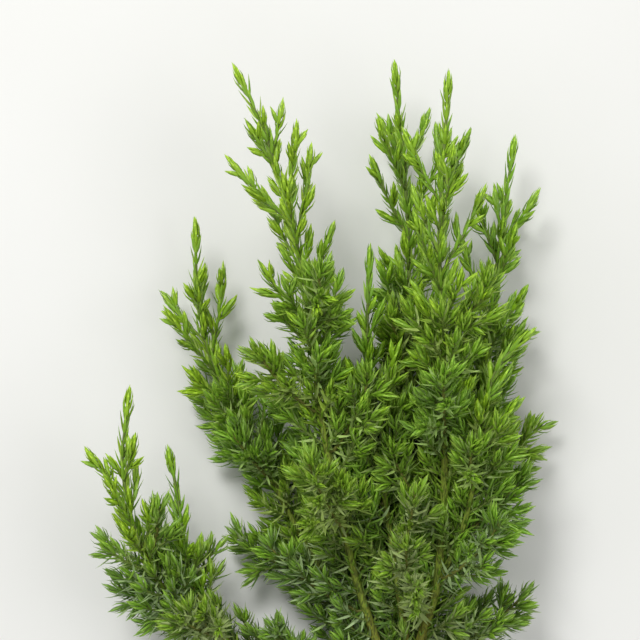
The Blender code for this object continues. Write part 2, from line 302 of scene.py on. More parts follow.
def radius_at(limb, distance):
    """The limb's radius that far from its foot."""
    share = min(distance / WOODY[limb.name], 1)
    return (limb.foot + (limb.tip - limb.foot) * share**LIMB_TAPER) * MM


def wood_of(limb, step):
    """The line and the radii of the limb's bare wood, up to its crown."""
    count = round(WOODY[limb.name] / step) + 1
    places = np.linspace(0, WOODY[limb.name], count)
    points = np.array([place_on(AXES[limb.name], place)[0] for place in places])
    return points, np.array([radius_at(limb, place) for place in places])


def crown_of(limb):
    """The crown that takes over from the limb's tip."""
    whole = length_of(AXES[limb.name])
    places = np.linspace(WOODY[limb.name] + GAP, whole, round(limb.crown / CROWN_STEP))
    spine = np.array([place_on(AXES[limb.name], place)[0] for place in places])
    return Mass(f"{limb.name}_crown", spine, True)


def spray_on(limb, name, distance, turn, length):
    """A spray that leaves the limb that far along it, in that direction round it."""
    centre, direction = place_on(AXES[limb.name], distance)
    heading = leaving(direction, SPRAY_ANGLE, turn)
    width = radius_at(limb, distance) + GAP + SPINE_FOOT * math.cos(SPRAY_ANGLE)
    start = centre + heading * width / math.sin(SPRAY_ANGLE)
    return Mass(name, bending(start, heading, direction, SPRAY_RISE, length), False)


def nearest(points, others):
    """The distance from each point to the nearest of the others."""
    return np.linalg.norm(points[:, None] - others[None], axis=2).min(axis=1)


def kept_short(mass, taken):
    """The mass, with its spine ended where it would run into a limb or another spine."""
    close = np.flatnonzero(nearest(mass.spine, taken)[SPINE_START:] < SPINE_CLEARANCE)
    return mass._replace(spine=mass.spine[: close[0] + SPINE_START]) if len(close) else mass


def sprays_of(limb, masses):
    """The sprays on a limb, evenly spaced, each turned on to where there is room for it."""
    rng = random.Random(f"sprays of {limb.name}")
    spacing = (WOODY[limb.name] - limb.bare * MM) / limb.sprays
    turn = math.radians(limb.first_turn)
    taken = [wood_of(other, SURVEY_STEP)[0] for other in LIMBS if other is not limb]
    taken = np.vstack(taken + [evenly(mass.spine, SURVEY_STEP) for mass in masses])
    for index in range(limb.sprays):
        distance = limb.bare * MM + (index + rng.uniform(*SPRAY_PLACES)) * spacing
        height = index / max(limb.sprays - 1, 1)
        length = limb.longest * MM * (1 - SPRAY_SHORTENING * height)
        length *= rng.uniform(*SPRAY_LENGTHS)
        name = f"{limb.name}_spray_{index + 1}"
        best = None
        for _ in range(SPRAY_TRIES):
            spray = kept_short(spray_on(limb, name, distance, turn, length), taken)
            if best is None or length_of(spray.spine) > length_of(best.spine):
                best = spray
            turn += TURN
            if length_of(best.spine) > ENOUGH_ROOM * length:
                break
        taken = np.vstack((taken, evenly(best.spine, SURVEY_STEP)))
        yield best


def grown_masses():
    """All crowns, then all sprays, with each spine clear of what came before it."""
    masses = [crown_of(limb) for limb in LIMBS]
    for limb in LIMBS:
        masses += list(sprays_of(limb, masses))
    return masses


class Space:
    """The room that a mass keeps to: what is nearer to its spine than to any other."""

    def __init__(self, mass, masses):
        self.own = evenly(mass.spine, SPACE_STEP)
        self.others = np.vstack(
            [evenly(other.spine, SPACE_STEP) for other in masses if other is not mass]
        )
        wood = [wood_of(limb, SPACE_STEP) for limb in LIMBS]
        self.wood = np.vstack([points for points, _ in wood])
        self.wood_radii = np.concatenate([radii for _, radii in wood])

    def holds(self, points, radius):
        """Whether a solid of that radius round these points stays inside."""
        points = np.atleast_2d(points)
        room = nearest(points, self.others) - nearest(points, self.own)
        to_wood = np.linalg.norm(points[:, None] - self.wood[None], axis=2) - self.wood_radii
        return bool(
            room.min() > 2 * (radius + SPACE_MARGIN)
            and to_wood.min() > radius + SPACE_MARGIN
            and points[:, 2].min() > radius
        )


def side_branches(parent, order, space, room, rng, least=SHORTEST_BRANCH):
    """The side branches of one order on a parent, longer the further from its tip."""
    whole = length_of(parent)
    turn = rng.uniform(0, math.tau)
    left = order.bare_tip
    while left < whole - order.first:
        start, direction = place_on(parent, whole - left)
        turn += TURN + rng.uniform(-TURN_JITTER, TURN_JITTER)
        heading = leaving(direction, order.angle * rng.uniform(*ANGLE_SPREAD), turn)
        length = order.shortest + order.growth * (left - order.bare_tip)
        length = min(length, order.longest) * rng.uniform(*BRANCH_LENGTHS)
        for share in SHORTENINGS:
            path = bending(start, heading, direction, order.rise, length * share)
            if length * share > least and space.holds(path[1:], room):
                yield path
                break
        left += order.spacing * rng.uniform(*SPACING_SPREAD)


# What follows isn't in the part: finer twigs, needles, bark, floor, light and camera.

# Finer twigs, and how they are seated on the wood
FINER_CROWN_TWIG = Order(
    math.radians(30), 0.5, 8.0 * MM, 3.0 * MM, 33.0 * MM, 11.0 * MM, 0.14, 24.0 * MM
)
FINER_SPRAY_TWIG = Order(
    math.radians(42), 0.5, 5.6 * MM, 3.0 * MM, 10.0 * MM, 13.0 * MM, 0.5, 32.0 * MM
)
FINER_SHOOT = Order(
    math.radians(38), 0.5, 8.0 * MM, 5.0 * MM, 12.0 * MM, 12.0 * MM, 0.6, 26.0 * MM
)
FINER_LEAST = 5.0 * MM  # length of the shortest finer shoot
FINE_ROOM = 0.6 * MM
FINE_STEP = 1.0 * MM
LIMB_TWIG_SPACING = 1.8 * MM  # along the wood of a limb, between its sprays
LIMB_TWIG_SPREAD = (0.8, 1.2)
LIMB_TWIG_LENGTHS = (14.0 * MM, 32.0 * MM)
LIMB_TWIG_CLEARANCE = 1.8 * MM
OPEN_SHARE = 0.72  # of a limb's wood, from its foot, that shows from above
OPEN_RISE = 0.66  # how steeply its short twigs rise there at most
LEAFLESS_STEM = 48.0 * MM
LEAFLESS_BOUGH = 14.0 * MM
LEAFLESS_SHARE = 0.3  # of a limb's wood, from its foot, with no needles on it
SPINE_RADII = (1.0 * MM, 0.55 * MM)  # at the foot and at the end
TWIG_RADII = (0.7 * MM, 0.45 * MM)
SHOOT_RADII = (0.5 * MM, 0.4 * MM)
TUBE_STEP = 4.0 * MM
SKEW = (0.31, 0.17, 0.93)  # a direction that no branch takes
TWIG_SIDES = 5

# The shape of a needle: three rings of three corners, then its point
RING_SHARES = (0.0, 0.26, 0.66, 1.0)  # where along it the rings and the point stand
RING_WIDTHS = (0.6, 1.0, 0.62)  # share of its width
NEEDLE_DEPTH = 0.36  # of its width
NEEDLE_EDGE = math.radians(80)  # its margins are sharper than this, and its keel is not
NEEDLE_TRIANGLES = 16
MOST_TRIANGLES = 190_000  # in one piece
LOWEST_NEEDLE = 0.1 * MM  # above the floor

# How the needles of one twig differ
LENGTH_SPREAD = (0.88, 1.1)
WIDTH_SPREAD = (0.9, 1.1)
AZIMUTH_JITTER = 0.16
ANGLE_JITTER = math.radians(6)
ROLL_JITTER = math.radians(32)  # how far a needle turns about itself
BUNDLE_JITTER = math.radians(2.5)

# How foliage ages, from 0 in a crown to 1 on the lowest spray. Its tones darken with age, partly as
# the needles' own ageing and partly as painted shade on the lower sprays
CROWN_AGE = 0.35
SPRAY_AGES = (1.0, 0.15)
# How far the tones darken with age, in bundles and below them: part ageing, part painted shade
BUNDLE_AGEING_AND_SHADE = (1.9, 1.1)  # the tone of the oldest bundle, and the power of age it follows
NEEDLE_AGEING_AND_SHADE = (3.0, 2.2)
YOUNGEST_NEEDLE = 1.0  # tone below the bundles of a crown
AGES = (0.1, 1)  # between which sizes and angles change
TWIG_TONE_SPREAD = 0.5
NEEDLE_TONE_SPREAD = 0.25


class Bundle(NamedTuple):
    """One three of needles in the bundle that closes a twig."""

    below: float  # the end of the twig, mm
    length: float  # mm
    opening: float  # angle to the twig at the needle's foot, degrees
    closing: float  # and at its tip


BUNDLE = (
    Bundle(0.2, 6.2, 2, -5),
    Bundle(1.7, 6.9, 13, -9),
    Bundle(3.6, 7.8, 21, -10),
    Bundle(5.9, 8.7, 25, -10),
    Bundle(8.7, 9.3, 25, -7),
)
BUNDLE_ENDS = (11.6 * MM, 3.2 * MM)  # its length below the twig's end, in a crown and when old
BUNDLE_WIDTHS = (1.8 * MM, 1.35 * MM)
BUNDLE_OPENING = 1.6  # how much wider open the bundles of the oldest spray stand
CLOSING_LENGTHS = (24.0 * MM, 8.0 * MM)  # over which the needles below a bundle open out
OPENED_SHARES = (0.65, 1.1)  # how far they do
NEEDLE_REACH = 5.6 * MM  # how far the last needles reach past the end of their twig
TRIMMED_LEAST = 1 / 3  # share of a twig that stays below them
NEEDLE_SEAT = 0.5  # where a needle starts, as a share of its twig's radius
NEEDLELESS_FOOT = 1.5 * MM  # of a twig


class Habit(NamedTuple):
    """How the needles stand below the bundles."""

    spacing: float  # between threes
    length: float
    width: float
    young_angle: float  # next to the bundle
    old_angle: float  # and well below it
    incurve: float  # how much a needle turns to its twig over its length


def habit(spacing, length, width, young_angle, old_angle, incurve):
    """A habit from millimetres and degrees."""
    angles = (math.radians(angle) for angle in (young_angle, old_angle, incurve))
    return Habit(spacing * MM, length * MM, width * MM, *angles)


LEADER = habit(5.4, 10.0, 1.8, 18, 26, 6)
CROWN = habit(4.0, 8.6, 1.5, 18, 30, 6)
SPRAY = habit(2.6, 9.2, 1.4, 38, 68, 18)
WOOD = habit(4.0, 8.0, 1.3, 30, 55, 10)


class Tone(NamedTuple):
    """The greens of a needle, from 0 to 255 as a screen shows them."""

    under: tuple
    upper: tuple
    point: tuple


TONES = {
    "lime": Tone((136, 178, 28), (176, 211, 64), (168, 210, 48)),
    "young": Tone((121, 166, 35), (162, 197, 72), (146, 187, 54)),
    "mid": Tone((118, 158, 42), (168, 196, 106), (130, 170, 56)),
    "mature": Tone((92, 128, 36), (164, 186, 122), (104, 140, 48)),
    "old": Tone((76, 108, 28), (158, 180, 120), (88, 120, 40)),
}
SIDES = Tone._fields
VARIANTS = ((1.0, 1.0, 1.0), (1.03, 1.01, 0.95), (0.98, 1.0, 1.03))  # dealt out by spray
NEEDLE_SHADE = 0.9  # of its own green, in its darker patches
MOTTLE_STOPS = (0.35, 0.65)  # of a noise, between which its two colours meet

# The bark
BARK_STEP = 1.5 * MM
BARK_SIDES = 28
BARK_EDGE = math.radians(50)
RIDGES = ((5, 0.06), (8, 0.05), (13, 0.045))  # how many round a limb, and share of its radius
RIDGE_TWIST = 12.0  # radians round the limb in a metre, at most
RIDGE_WANDER = 0.5
WANDER_LENGTH = 14.0 * MM
WANDER_SPREAD = (0.6, 1.4)
FADING_LENGTH = 9.0 * MM
FADING = 0.4  # of a ridge, at most
BARK_GRAIN = 0.012  # share of the radius
COLLAR = 0.35  # how much wider a bough is where it leaves its parent
COLLAR_PLACE = 4.5 * MM
COLLAR_WIDTH = 4.0 * MM
HIDDEN_FOOT = 0.55  # share of the radius at the foot, inside the parent
WOOD_SHARE = 0.86  # of the saw cut's radius, inside its bark
BARKS = {0.0: (106, 74, 46), 0.3: (120, 106, 42), 0.6: (130, 134, 36), 1.0: (130, 152, 46)}
BARK_REACH = (8.0 * MM, 96.0 * MM)  # from the cut, where old bark gives way to green
BARK_PATCHES = 0.9  # how much of that range a patch may differ by
FIBRE_STRETCH = (1, 0.1, 1)  # of the noise's coordinates: long fibres along the branch
FIBRE_SHADES = {0.4: (158, 152, 146), 0.6: (255, 252, 246)}
WOODS = {0.2: (226, 202, 152), 0.9: (196, 160, 108)}
WOOD_RINGS = 620  # scale of the wave texture, for a year's ring about 0.5 mm wide
BROWN_TWIG = ((92, 96, 32), (114, 116, 42))
GREEN_TWIG = ((92, 112, 44), (108, 126, 50))

# The studio
FLOOR = ((220, 220, 216), (226, 226, 223))
FLOOR_HALF = 12.0  # metres
CAMERA_PLACE = (0.25 * MM, 48.0 * MM, 1265.0 * MM)  # straight above, with its top to the tips
CAMERA_LENS = 150  # mm
CAMERA_SENSOR = 36  # mm
SUBJECT = (0.0, 0.02, 0.05)  # what the lights point at
WORLD_STRENGTH = 0.58


class Lamp(NamedTuple):
    """A round area light, in metres and watts."""

    name: str
    place: tuple
    size: float
    power: float


LAMPS = (
    Lamp("key", (-0.5, 1.0, 1.5), 0.7, 23),
    Lamp("fill", (0.9, -0.1, 1.2), 0.9, 4),
)


class Twig(NamedTuple):
    """A leafy axis: a spine, a twig on it, or a shoot on that."""

    path: np.ndarray
    radii: tuple  # at its foot and at its end
    habit: Habit
    mass: int  # the number of the mass that it belongs to


class Threes(NamedTuple):
    """The threes of needles on a twig, one row each, from its end."""

    below: np.ndarray  # the end of the twig
    length: np.ndarray
    width: np.ndarray
    opening: np.ndarray  # angle to the twig at the needle's foot
    closing: np.ndarray  # and at its tip


class Needles(NamedTuple):
    """Needles as arrays, one row each."""

    foot: np.ndarray
    along: np.ndarray  # direction of the twig
    outward: np.ndarray
    length: np.ndarray
    width: np.ndarray
    opening: np.ndarray
    closing: np.ndarray
    roll: np.ndarray  # how far it is turned about itself
    tone: np.ndarray
    variant: np.ndarray


def generator(name):
    """Numpy's random numbers, seeded by a name."""
    return np.random.default_rng(random.Random(name).getrandbits(32))


def normed(vectors):
    return vectors / np.linalg.norm(vectors, axis=1)[:, None]


def places_on(path, distances):
    """The points and directions at those distances along a polyline."""
    known = reached(path)
    slopes = np.gradient(path, axis=0)
    points = [np.interp(distances, known, path[:, axis]) for axis in range(3)]
    heads = [np.interp(distances, known, slopes[:, axis]) for axis in range(3)]
    return np.stack(points, axis=1), normed(np.stack(heads, axis=1))


def square_to(directions):
    """Two directions square to each of these and to each other."""
    side = normed(np.cross(directions, unit(np.array(SKEW))))
    return side, np.cross(directions, side)


# Growth


def finer_growth(mass, index, masses):
    """The mass's own twigs and shoots, and the finer ones between them."""
    space = Space(mass, masses)
    order = CROWN_TWIG if mass.is_crown else SPRAY_TWIG
    finer = FINER_CROWN_TWIG if mass.is_crown else FINER_SPRAY_TWIG
    twig_habit = CROWN if mass.is_crown else SPRAY
    spine_habit = LEADER if mass.is_crown else SPRAY
    rng = random.Random(f"growth of {mass.name}")
    twigs = []
    shoots = []
    for twig in side_branches(mass.spine, order, space, TWIG_ROOM, rng):
        twigs.append(twig)
        shoots += side_branches(twig, SIDE_SHOOT, space, SHOOT_ROOM, rng)
    rng = random.Random(f"finer growth of {mass.name}")
    twigs += side_branches(mass.spine, finer, space, FINE_ROOM, rng, FINER_LEAST)
    if not mass.is_crown:
        for twig in twigs:
            shoots += side_branches(twig, FINER_SHOOT, space, FINE_ROOM, rng, FINER_LEAST)
    yield Twig(rooted(mass), SPINE_RADII, spine_habit, index)
    for path in twigs:
        yield Twig(path, TWIG_RADII, twig_habit, index)
    for path in shoots:
        yield Twig(path, SHOOT_RADII, twig_habit, index)


def rooted(mass):
    """The spine of a mass, begun inside the wood that carries it."""
    limb = LIMB_NAMED[mass.name.split("_spray_")[0].removesuffix("_crown")]
    wood = wood_of(limb, FINE_STEP)[0]
    inside = wood[np.linalg.norm(wood - mass.spine[0], axis=1).argmin()]
    return np.vstack((inside, mass.spine))


def has_room(limb, twig, distance, taken):
    """Whether a twig on a limb's wood keeps off the rest, and lets the wood show from above."""
    is_clear = nearest(twig[1:], taken).min() > LIMB_TWIG_CLEARANCE
    is_upper = distance > OPEN_SHARE * WOODY[limb.name]
    is_low = unit(twig[1] - twig[0])[2] < OPEN_RISE
    return is_clear and (is_upper or is_low) and twig[:, 2].min() > FINE_ROOM


def shoots_on(twig, others, rng):
    """The shoots of a limb's twig, each nearer to it than to any other limb."""
    space = Space(Mass("", twig, False), [Mass("", points, False) for points in others])
    return side_branches(twig, FINER_SHOOT, space, FINE_ROOM, rng, FINER_LEAST)


def limb_twigs(limb, masses):
    """Short twigs on the wood of a limb, where its sprays leave room for them."""
    rng = random.Random(f"twigs of {limb.name}")
    spines = [evenly(mass.spine, SURVEY_STEP) for mass in masses]
    others = [wood_of(other, SURVEY_STEP)[0] for other in LIMBS if other is not limb]
    taken = np.vstack(spines + others)
    distance = LEAFLESS_BOUGH if limb.parent else LEAFLESS_STEM
    turn = math.radians(limb.first_turn)
    while distance < WOODY[limb.name]:
        turn += TURN
        length = rng.uniform(*LIMB_TWIG_LENGTHS)
        twig = spray_on(limb, "", distance, turn, length).spine
        if has_room(limb, twig, distance, taken):
            mass = int(np.argmin([nearest(twig, spine).min() for spine in spines]))
            seated = np.vstack((place_on(AXES[limb.name], distance)[0], twig))
            yield Twig(seated, TWIG_RADII, SPRAY, mass)
            for shoot in shoots_on(twig, others, rng):
                yield Twig(shoot, SHOOT_RADII, SPRAY, mass)
        distance += LIMB_TWIG_SPACING * rng.uniform(*LIMB_TWIG_SPREAD)


def leafy_wood(limb, index):
    """The upper part of a limb's wood, which still carries old needles."""
    path, radii = wood_of(limb, TUBE_STEP)
    first = round(len(path) * LEAFLESS_SHARE)
    return Twig(path[first:], (radii[first], radii[-1]), WOOD, index)


def trimmed(twig):
    """The twig's path without the last stretch, which its needles reach over."""
    whole = length_of(twig.path)
    end = max(whole - NEEDLE_REACH, whole * TRIMMED_LEAST)
    count = max(FEWEST_POINTS, round(end / TUBE_STEP) + 1)
    return places_on(twig.path, np.linspace(0, end, count))[0]


# Needles


def ages_of(masses):
    """How old the foliage of each mass is: 0 in the top crown, and up to 1 on the lowest spray."""
    heights = np.array([mass.spine[0, 1] - CUT_END[1] for mass in masses])
    heights /= BRANCH_LENGTH
    crowns = np.array([mass.is_crown for mass in masses])
    # Lower masses count as older, and their darker tones are partly painted shade
    return np.where(crowns, CROWN_AGE * (1 - heights), np.interp(heights, (0, 1), SPRAY_AGES))


def by_age(age, values):
    """The value between that in a crown and that on the oldest spray."""
    return float(np.interp(age, AGES, values))


def threes_of(twig_habit, whole, age):
    """The bundle that closes a twig, and the threes from there to its foot."""
    end = by_age(age, BUNDLE_ENDS)
    bundle = np.array([three for three in BUNDLE if three.below * MM < min(end, whole)])
    bundle[:, 2:] *= 1 + BUNDLE_OPENING * age
    lower = np.arange(end, whole - NEEDLELESS_FOOT, twig_habit.spacing)
    opened = np.clip((lower - end) / by_age(age, CLOSING_LENGTHS), 0, 1)
    opened *= np.interp(age, (0, 1), OPENED_SHARES)
    opening = twig_habit.young_angle + (twig_habit.old_angle - twig_habit.young_angle) * opened
    flat = np.ones(len(lower))
    bundle_widths = by_age(age, BUNDLE_WIDTHS) * np.ones(len(bundle))
    return Threes(
        np.concatenate((bundle[:, 0] * MM, lower)),
        np.concatenate((bundle[:, 1] * MM, twig_habit.length * flat)),
        np.concatenate((bundle_widths, twig_habit.width * flat)),
        np.concatenate((np.radians(bundle[:, 2]), opening)),
        np.concatenate((np.radians(bundle[:, 3]), opening - twig_habit.incurve)),
    )


def round_the_twig(axis, rng):
    """The outward directions of the needles: three at each place, each three turned on."""
    side, other = (np.repeat(direction, 3, axis=0) for direction in square_to(axis))
    turns = np.arange(len(axis))[:, None] * math.pi / 3 + np.arange(3) * math.tau / 3
    turns += rng.uniform(0, math.tau) + rng.normal(0, AZIMUTH_JITTER, turns.shape)
    return mixed(turns.ravel(), side, other)


def tones_of(bundled, age, rng):
    """The tone of each needle, from the youngest to the oldest. Older, lower foliage gets darker
    tones, partly from ageing and partly as painted shade.
    """
    oldest, power = BUNDLE_AGEING_AND_SHADE
    in_bundle = oldest * age**power
    growth, power = NEEDLE_AGEING_AND_SHADE
    tone = np.where(bundled, in_bundle, YOUNGEST_NEEDLE + growth * age**power)
    tone += rng.uniform(-TWIG_TONE_SPREAD, TWIG_TONE_SPREAD)
    tone += rng.uniform(-NEEDLE_TONE_SPREAD, NEEDLE_TONE_SPREAD, len(bundled))
    return np.clip(np.round(tone), 0, len(TONES) - 1).astype(int)


def needles_on(twig, age, rng):
    """All the needles of a twig."""
    path = trimmed(twig)
    whole = length_of(path)
    threes = threes_of(twig.habit, whole, age)
    centre, axis = places_on(path, whole - threes.below)
    outward = round_the_twig(axis, rng)
    below, length, width, opening, closing = (np.repeat(column, 3) for column in threes)
    count = len(below)
    radius = np.interp(below, (0, whole), twig.radii[::-1])
    bundled = below < by_age(age, BUNDLE_ENDS)
    spread = rng.normal(0, 1, count) * np.where(bundled, BUNDLE_JITTER, ANGLE_JITTER)
    tone = tones_of(bundled, age, rng)
    return Needles(
        np.repeat(centre, 3, axis=0) + outward * (NEEDLE_SEAT * radius)[:, None],
        np.repeat(axis, 3, axis=0),
        outward,
        length * rng.uniform(*LENGTH_SPREAD, count),
        width * rng.uniform(*WIDTH_SPREAD, count),
        opening + spread,
        closing + spread,
        rng.normal(0, 1, count) * np.where(bundled, BUNDLE_JITTER, ROLL_JITTER),
        tone,
        np.full(count, twig.mass % len(VARIANTS)),
    )


def joined(parts):
    """Many sets of needles as one."""
    return Needles(*(np.concatenate(column) for column in zip(*parts)))


def chosen(needles, rows):
    return Needles(*(column[rows] for column in needles))


def mixed(angle, first, second):
    """Each row that far round from the first direction to the second."""
    return np.cos(angle)[:, None] * first + np.sin(angle)[:, None] * second


def needle_corners(needles):
    """Corners of every needle: three rings of three, then its point."""
    across = np.cross(needles.along, needles.outward)
    bend = needles.closing - needles.opening
    centre = needles.foot
    rows = []
    for share, end, ring_width in zip(RING_SHARES, RING_SHARES[1:], RING_WIDTHS):
        upward = mixed(needles.opening + bend * share - math.pi / 2, needles.along, needles.outward)
        width = (needles.width * ring_width)[:, None]
        half = mixed(needles.roll, across, upward) * width / 2
        keel = mixed(needles.roll, upward, -across) * width * NEEDLE_DEPTH
        rows += [centre + half, centre - half, centre - keel]
        middle = needles.opening + bend * (share + end) / 2
        step = (needles.length * (end - share))[:, None]
        centre = centre + mixed(middle, needles.along, needles.outward) * step
    return np.stack(rows + [centre], axis=1)


def needle_faces():
    """The faces of one needle, and which of its greens each takes.

    Its rings start at corners 0, 3 and 6, and corner 9 is its point.
    """
    faces = [(2, 1, 0)]
    greens = ["under"]
    for ring in (0, 3):
        for side, across in ((0, 1), (1, 2), (2, 0)):
            faces.append((ring + side, ring + across, ring + across + 3, ring + side + 3))
            greens.append("under" if side else "upper")
    for side, across in ((0, 1), (1, 2), (2, 0)):
        faces.append((6 + side, 6 + across, 9))
        greens.append("point" if side else "upper")
    return faces, [SIDES.index(green) for green in greens]


def mesh_from(name, corners, loops, sizes, slots):
    """A mesh from flat arrays: corners, the loops of its faces, their sizes and slots."""
    mesh = bpy.data.meshes.new(name)
    mesh.vertices.add(len(corners))
    mesh.vertices.foreach_set("co", np.ascontiguousarray(corners, dtype=np.float32).ravel())
    mesh.loops.add(len(loops))
    mesh.loops.foreach_set("vertex_index", np.asarray(loops, dtype=np.int32))
    mesh.polygons.add(len(sizes))
    starts = np.concatenate(([0], np.cumsum(sizes)[:-1])).astype(np.int32)
    mesh.polygons.foreach_set("loop_start", starts)
    mesh.polygons.foreach_set("material_index", np.asarray(slots, dtype=np.int32))
    mesh.update(calc_edges=True)
    mesh.validate()
    return mesh


def mesh_of(name, corners, faces, slots):
    """A mesh from its corners and a list of faces, each a list of corners."""
    loops = [corner for face in faces for corner in face]
    return mesh_from(name, corners, loops, [len(face) for face in faces], slots)


def piece_of(mesh, materials):
    """An object of the mesh's name, with those materials in its slots."""
    for made in materials:
        mesh.materials.append(made)
    piece = bpy.data.objects.new(mesh.name, mesh)
    bpy.context.scene.collection.objects.link(piece)
    return piece


def needle_piece(name, needles, materials):
    """One joined mesh of many needles. Each variant has a slot for each of its greens."""
    corners = needle_corners(needles)
    count, each = corners.shape[:2]
    faces, greens = needle_faces()
    pattern = np.concatenate([np.array(face) for face in faces])
    loops = (np.arange(count)[:, None] * each + pattern).ravel()
    sizes = np.tile([len(face) for face in faces], count)
    slots = (needles.variant[:, None] * len(SIDES) + np.array(greens)).ravel()
    mesh = mesh_from(name, corners.reshape(-1, 3), loops, sizes, slots)
    mesh.set_sharp_from_angle(angle=NEEDLE_EDGE)
    return piece_of(mesh, materials)


# Wood


def sleeve(rings, sides):
    """The faces between the rings of a tube, four corners each."""
    first = np.arange(rings - 1)[:, None] * sides
    here = np.arange(sides)
    across = (here + 1) % sides
    corners = (first + here, first + across, first + across + sides, first + here + sides)
    return np.stack(corners, axis=2).reshape(-1, 4).tolist()


def closed(rings, sides):
    """The faces of a tube with both its ends."""
    last = sides * (rings - 1)
    return sleeve(rings, sides) + [list(range(sides))[::-1], list(range(last, last + sides))]


def rings_round(path, radii, sides):
    """The corners of a tube along a path. Radii are one for each ring, or each corner."""
    side, other = square_to(normed(np.gradient(path, axis=0)))
    angles = (np.arange(sides) * math.tau / sides)[:, None]
    outward = np.cos(angles) * side[:, None] + np.sin(angles) * other[:, None]
    return path[:, None] + outward * radii[:, :, None]


def twig_piece(name, twigs, materials):
    """One joined mesh of the wood of many twigs, brown near the limbs and green beyond."""
    corners = []
    faces = []
    slots = []
    for twig in twigs:
        path = trimmed(twig)
        known = reached(path)
        radii = np.interp(known, (0, known[-1]), twig.radii)[:, None]
        first = sum(len(part) for part in corners)
        corners.append(rings_round(path, radii, TWIG_SIDES).reshape(-1, 3))
        own = closed(len(path), TWIG_SIDES)
        faces += [[corner + first for corner in face] for face in own]
        is_brown = twig.habit == SPRAY and twig.radii == SPINE_RADII
        slots += [0 if is_brown else 1] * len(own)
    mesh = mesh_of(name, np.vstack(corners), faces, slots)
    mesh.shade_smooth()
    return piece_of(mesh, materials)


def relief(places, angles, radii, rng):
    """Height of the bark over the wood: long ridges that run a little round the limb."""
    height = np.zeros((len(places), len(angles)))
    for ridges, depth in RIDGES:
        bends = places / WANDER_LENGTH * rng.uniform(*WANDER_SPREAD)
        bends += rng.uniform(0, math.tau)
        twist = rng.uniform(-RIDGE_TWIST, RIDGE_TWIST) * places + RIDGE_WANDER * np.sin(bends)
        fading = np.sin(places / FADING_LENGTH + rng.uniform(0, math.tau))
        ridge = 1 - 2 * np.abs(np.sin((twist[:, None] + ridges * angles) / 2))
        height += depth * (1 - FADING + FADING * fading)[:, None] * ridge
    height += rng.uniform(-BARK_GRAIN, BARK_GRAIN, height.shape)
    return height * radii[:, None]


def collar(places):
    """How wide a bough is near its foot: slim inside its parent, and swollen just outside."""
    swelling = COLLAR * np.exp(-(((places - COLLAR_PLACE) / COLLAR_WIDTH) ** 2))
    return swelling + np.interp(places, (0, COLLAR_PLACE), (HIDDEN_FOOT, 1))


def bark_piece(limb, materials):
    """The limb with the relief of its bark. The face at its foot is bare wood."""
    path, radii = wood_of(limb, BARK_STEP)
    places = np.arange(len(path)) * BARK_STEP
    angles = np.arange(BARK_SIDES) * math.tau / BARK_SIDES
    heights = radii[:, None] + relief(places, angles, radii, generator(f"bark of {limb.name}"))
    if limb.parent:
        heights *= collar(places)[:, None]
    rings = rings_round(path, heights, BARK_SIDES)
    if not limb.parent:
        rings[0, :, 1] = path[0, 1]  # the saw cut is flat and square to the branch
    rim = path[0] + (rings[0] - path[0]) * WOOD_SHARE
    corners = np.vstack((rim, rings.reshape(-1, 3)))
    faces = closed(len(path) + 1, BARK_SIDES)
    slots = [0] * (len(faces) - 2) + [1, 0]
    mesh = mesh_of(f"bark_{limb.name}", corners, faces, slots)
    mesh.set_sharp_from_angle(angle=BARK_EDGE)
    return piece_of(mesh, materials)


# Materials


def linear(screen):
    """A colour from 0 to 255 on a screen as the linear colour that shaders take."""
    shares = np.array(screen) / 255
    low = shares / 12.92
    high = ((shares + 0.055) / 1.055) ** 2.4
    return tuple(np.where(shares <= 0.04045, low, high))


class Finish:
    """A material in the making, whose patterns all lie in the object's own coordinates."""

    def __init__(self, name, roughness):
        self.material = bpy.data.materials.new(name)
        self.material.use_nodes = True
        self.tree = self.material.node_tree
        self.shader = self.tree.nodes["Principled BSDF"]
        self.shader.inputs["Roughness"].default_value = roughness
        self.place = self.node("ShaderNodeTexCoord", {}).outputs["Object"]

    def node(self, kind, inputs, **properties):
        """A node with those properties, and its inputs linked or set to a value."""
        made = self.tree.nodes.new(kind)
        for name, value in properties.items():
            setattr(made, name, value)
        for name, value in inputs.items():
            if isinstance(value, bpy.types.NodeSocket):
                self.tree.links.new(value, made.inputs[name])
            else:
                made.inputs[name].default_value = value
        return made

    def noise(self, scale, detail, place=None):
        inputs = {"Vector": place or self.place, "Scale": scale, "Detail": detail}
        return self.node("ShaderNodeTexNoise", inputs).outputs["Fac"]

    def mapped(self, **inputs):
        """The object's coordinates, shifted or stretched."""
        inputs["Vector"] = self.place
        return self.node("ShaderNodeMapping", inputs).outputs["Vector"]

    def ramp(self, factor, stops):
        """The colour that a factor picks from those at the stops."""
        made = self.node("ShaderNodeValToRGB", {"Fac": factor})
        elements = made.color_ramp.elements
        while len(elements) < len(stops):
            elements.new(1)
        for element, (place, colour) in zip(elements, stops.items()):
            element.position = place
            element.color = (*linear(colour), 1)
        return made.outputs["Color"]

    def finished(self, colour, height, strength, depth):
        """The material, with its colour and the bump that the height gives."""
        inputs = {"Height": height, "Strength": strength, "Distance": depth}
        bump = self.node("ShaderNodeBump", inputs)
        self.tree.links.new(colour, self.shader.inputs["Base Color"])
        self.tree.links.new(bump.outputs["Normal"], self.shader.inputs["Normal"])
        return self.material


def mottled(name, colours, roughness, scale, bump):
    """A material whose colour wanders between two, with a fine bump from the same noise."""
    finish = Finish(name, roughness)
    noise = finish.noise(scale=scale, detail=4)
    colour = finish.ramp(noise, dict(zip(MOTTLE_STOPS, colours)))
    return finish.finished(colour, noise, strength=bump, depth=0.2 * MM)


def needle_materials(name, tone):
    """The greens of a tone, in each variant."""
    made = []
    for number, tint in enumerate(VARIANTS):
        for side, colour in zip(SIDES, tone):
            tinted = tuple(part * share for part, share in zip(colour, tint))
            colours = (tuple(part * NEEDLE_SHADE for part in tinted), tinted)
            label = f"{name}_{side}_{number + 1}"
            made.append(mottled(label, colours, roughness=0.48, scale=260, bump=0.1))
    return made


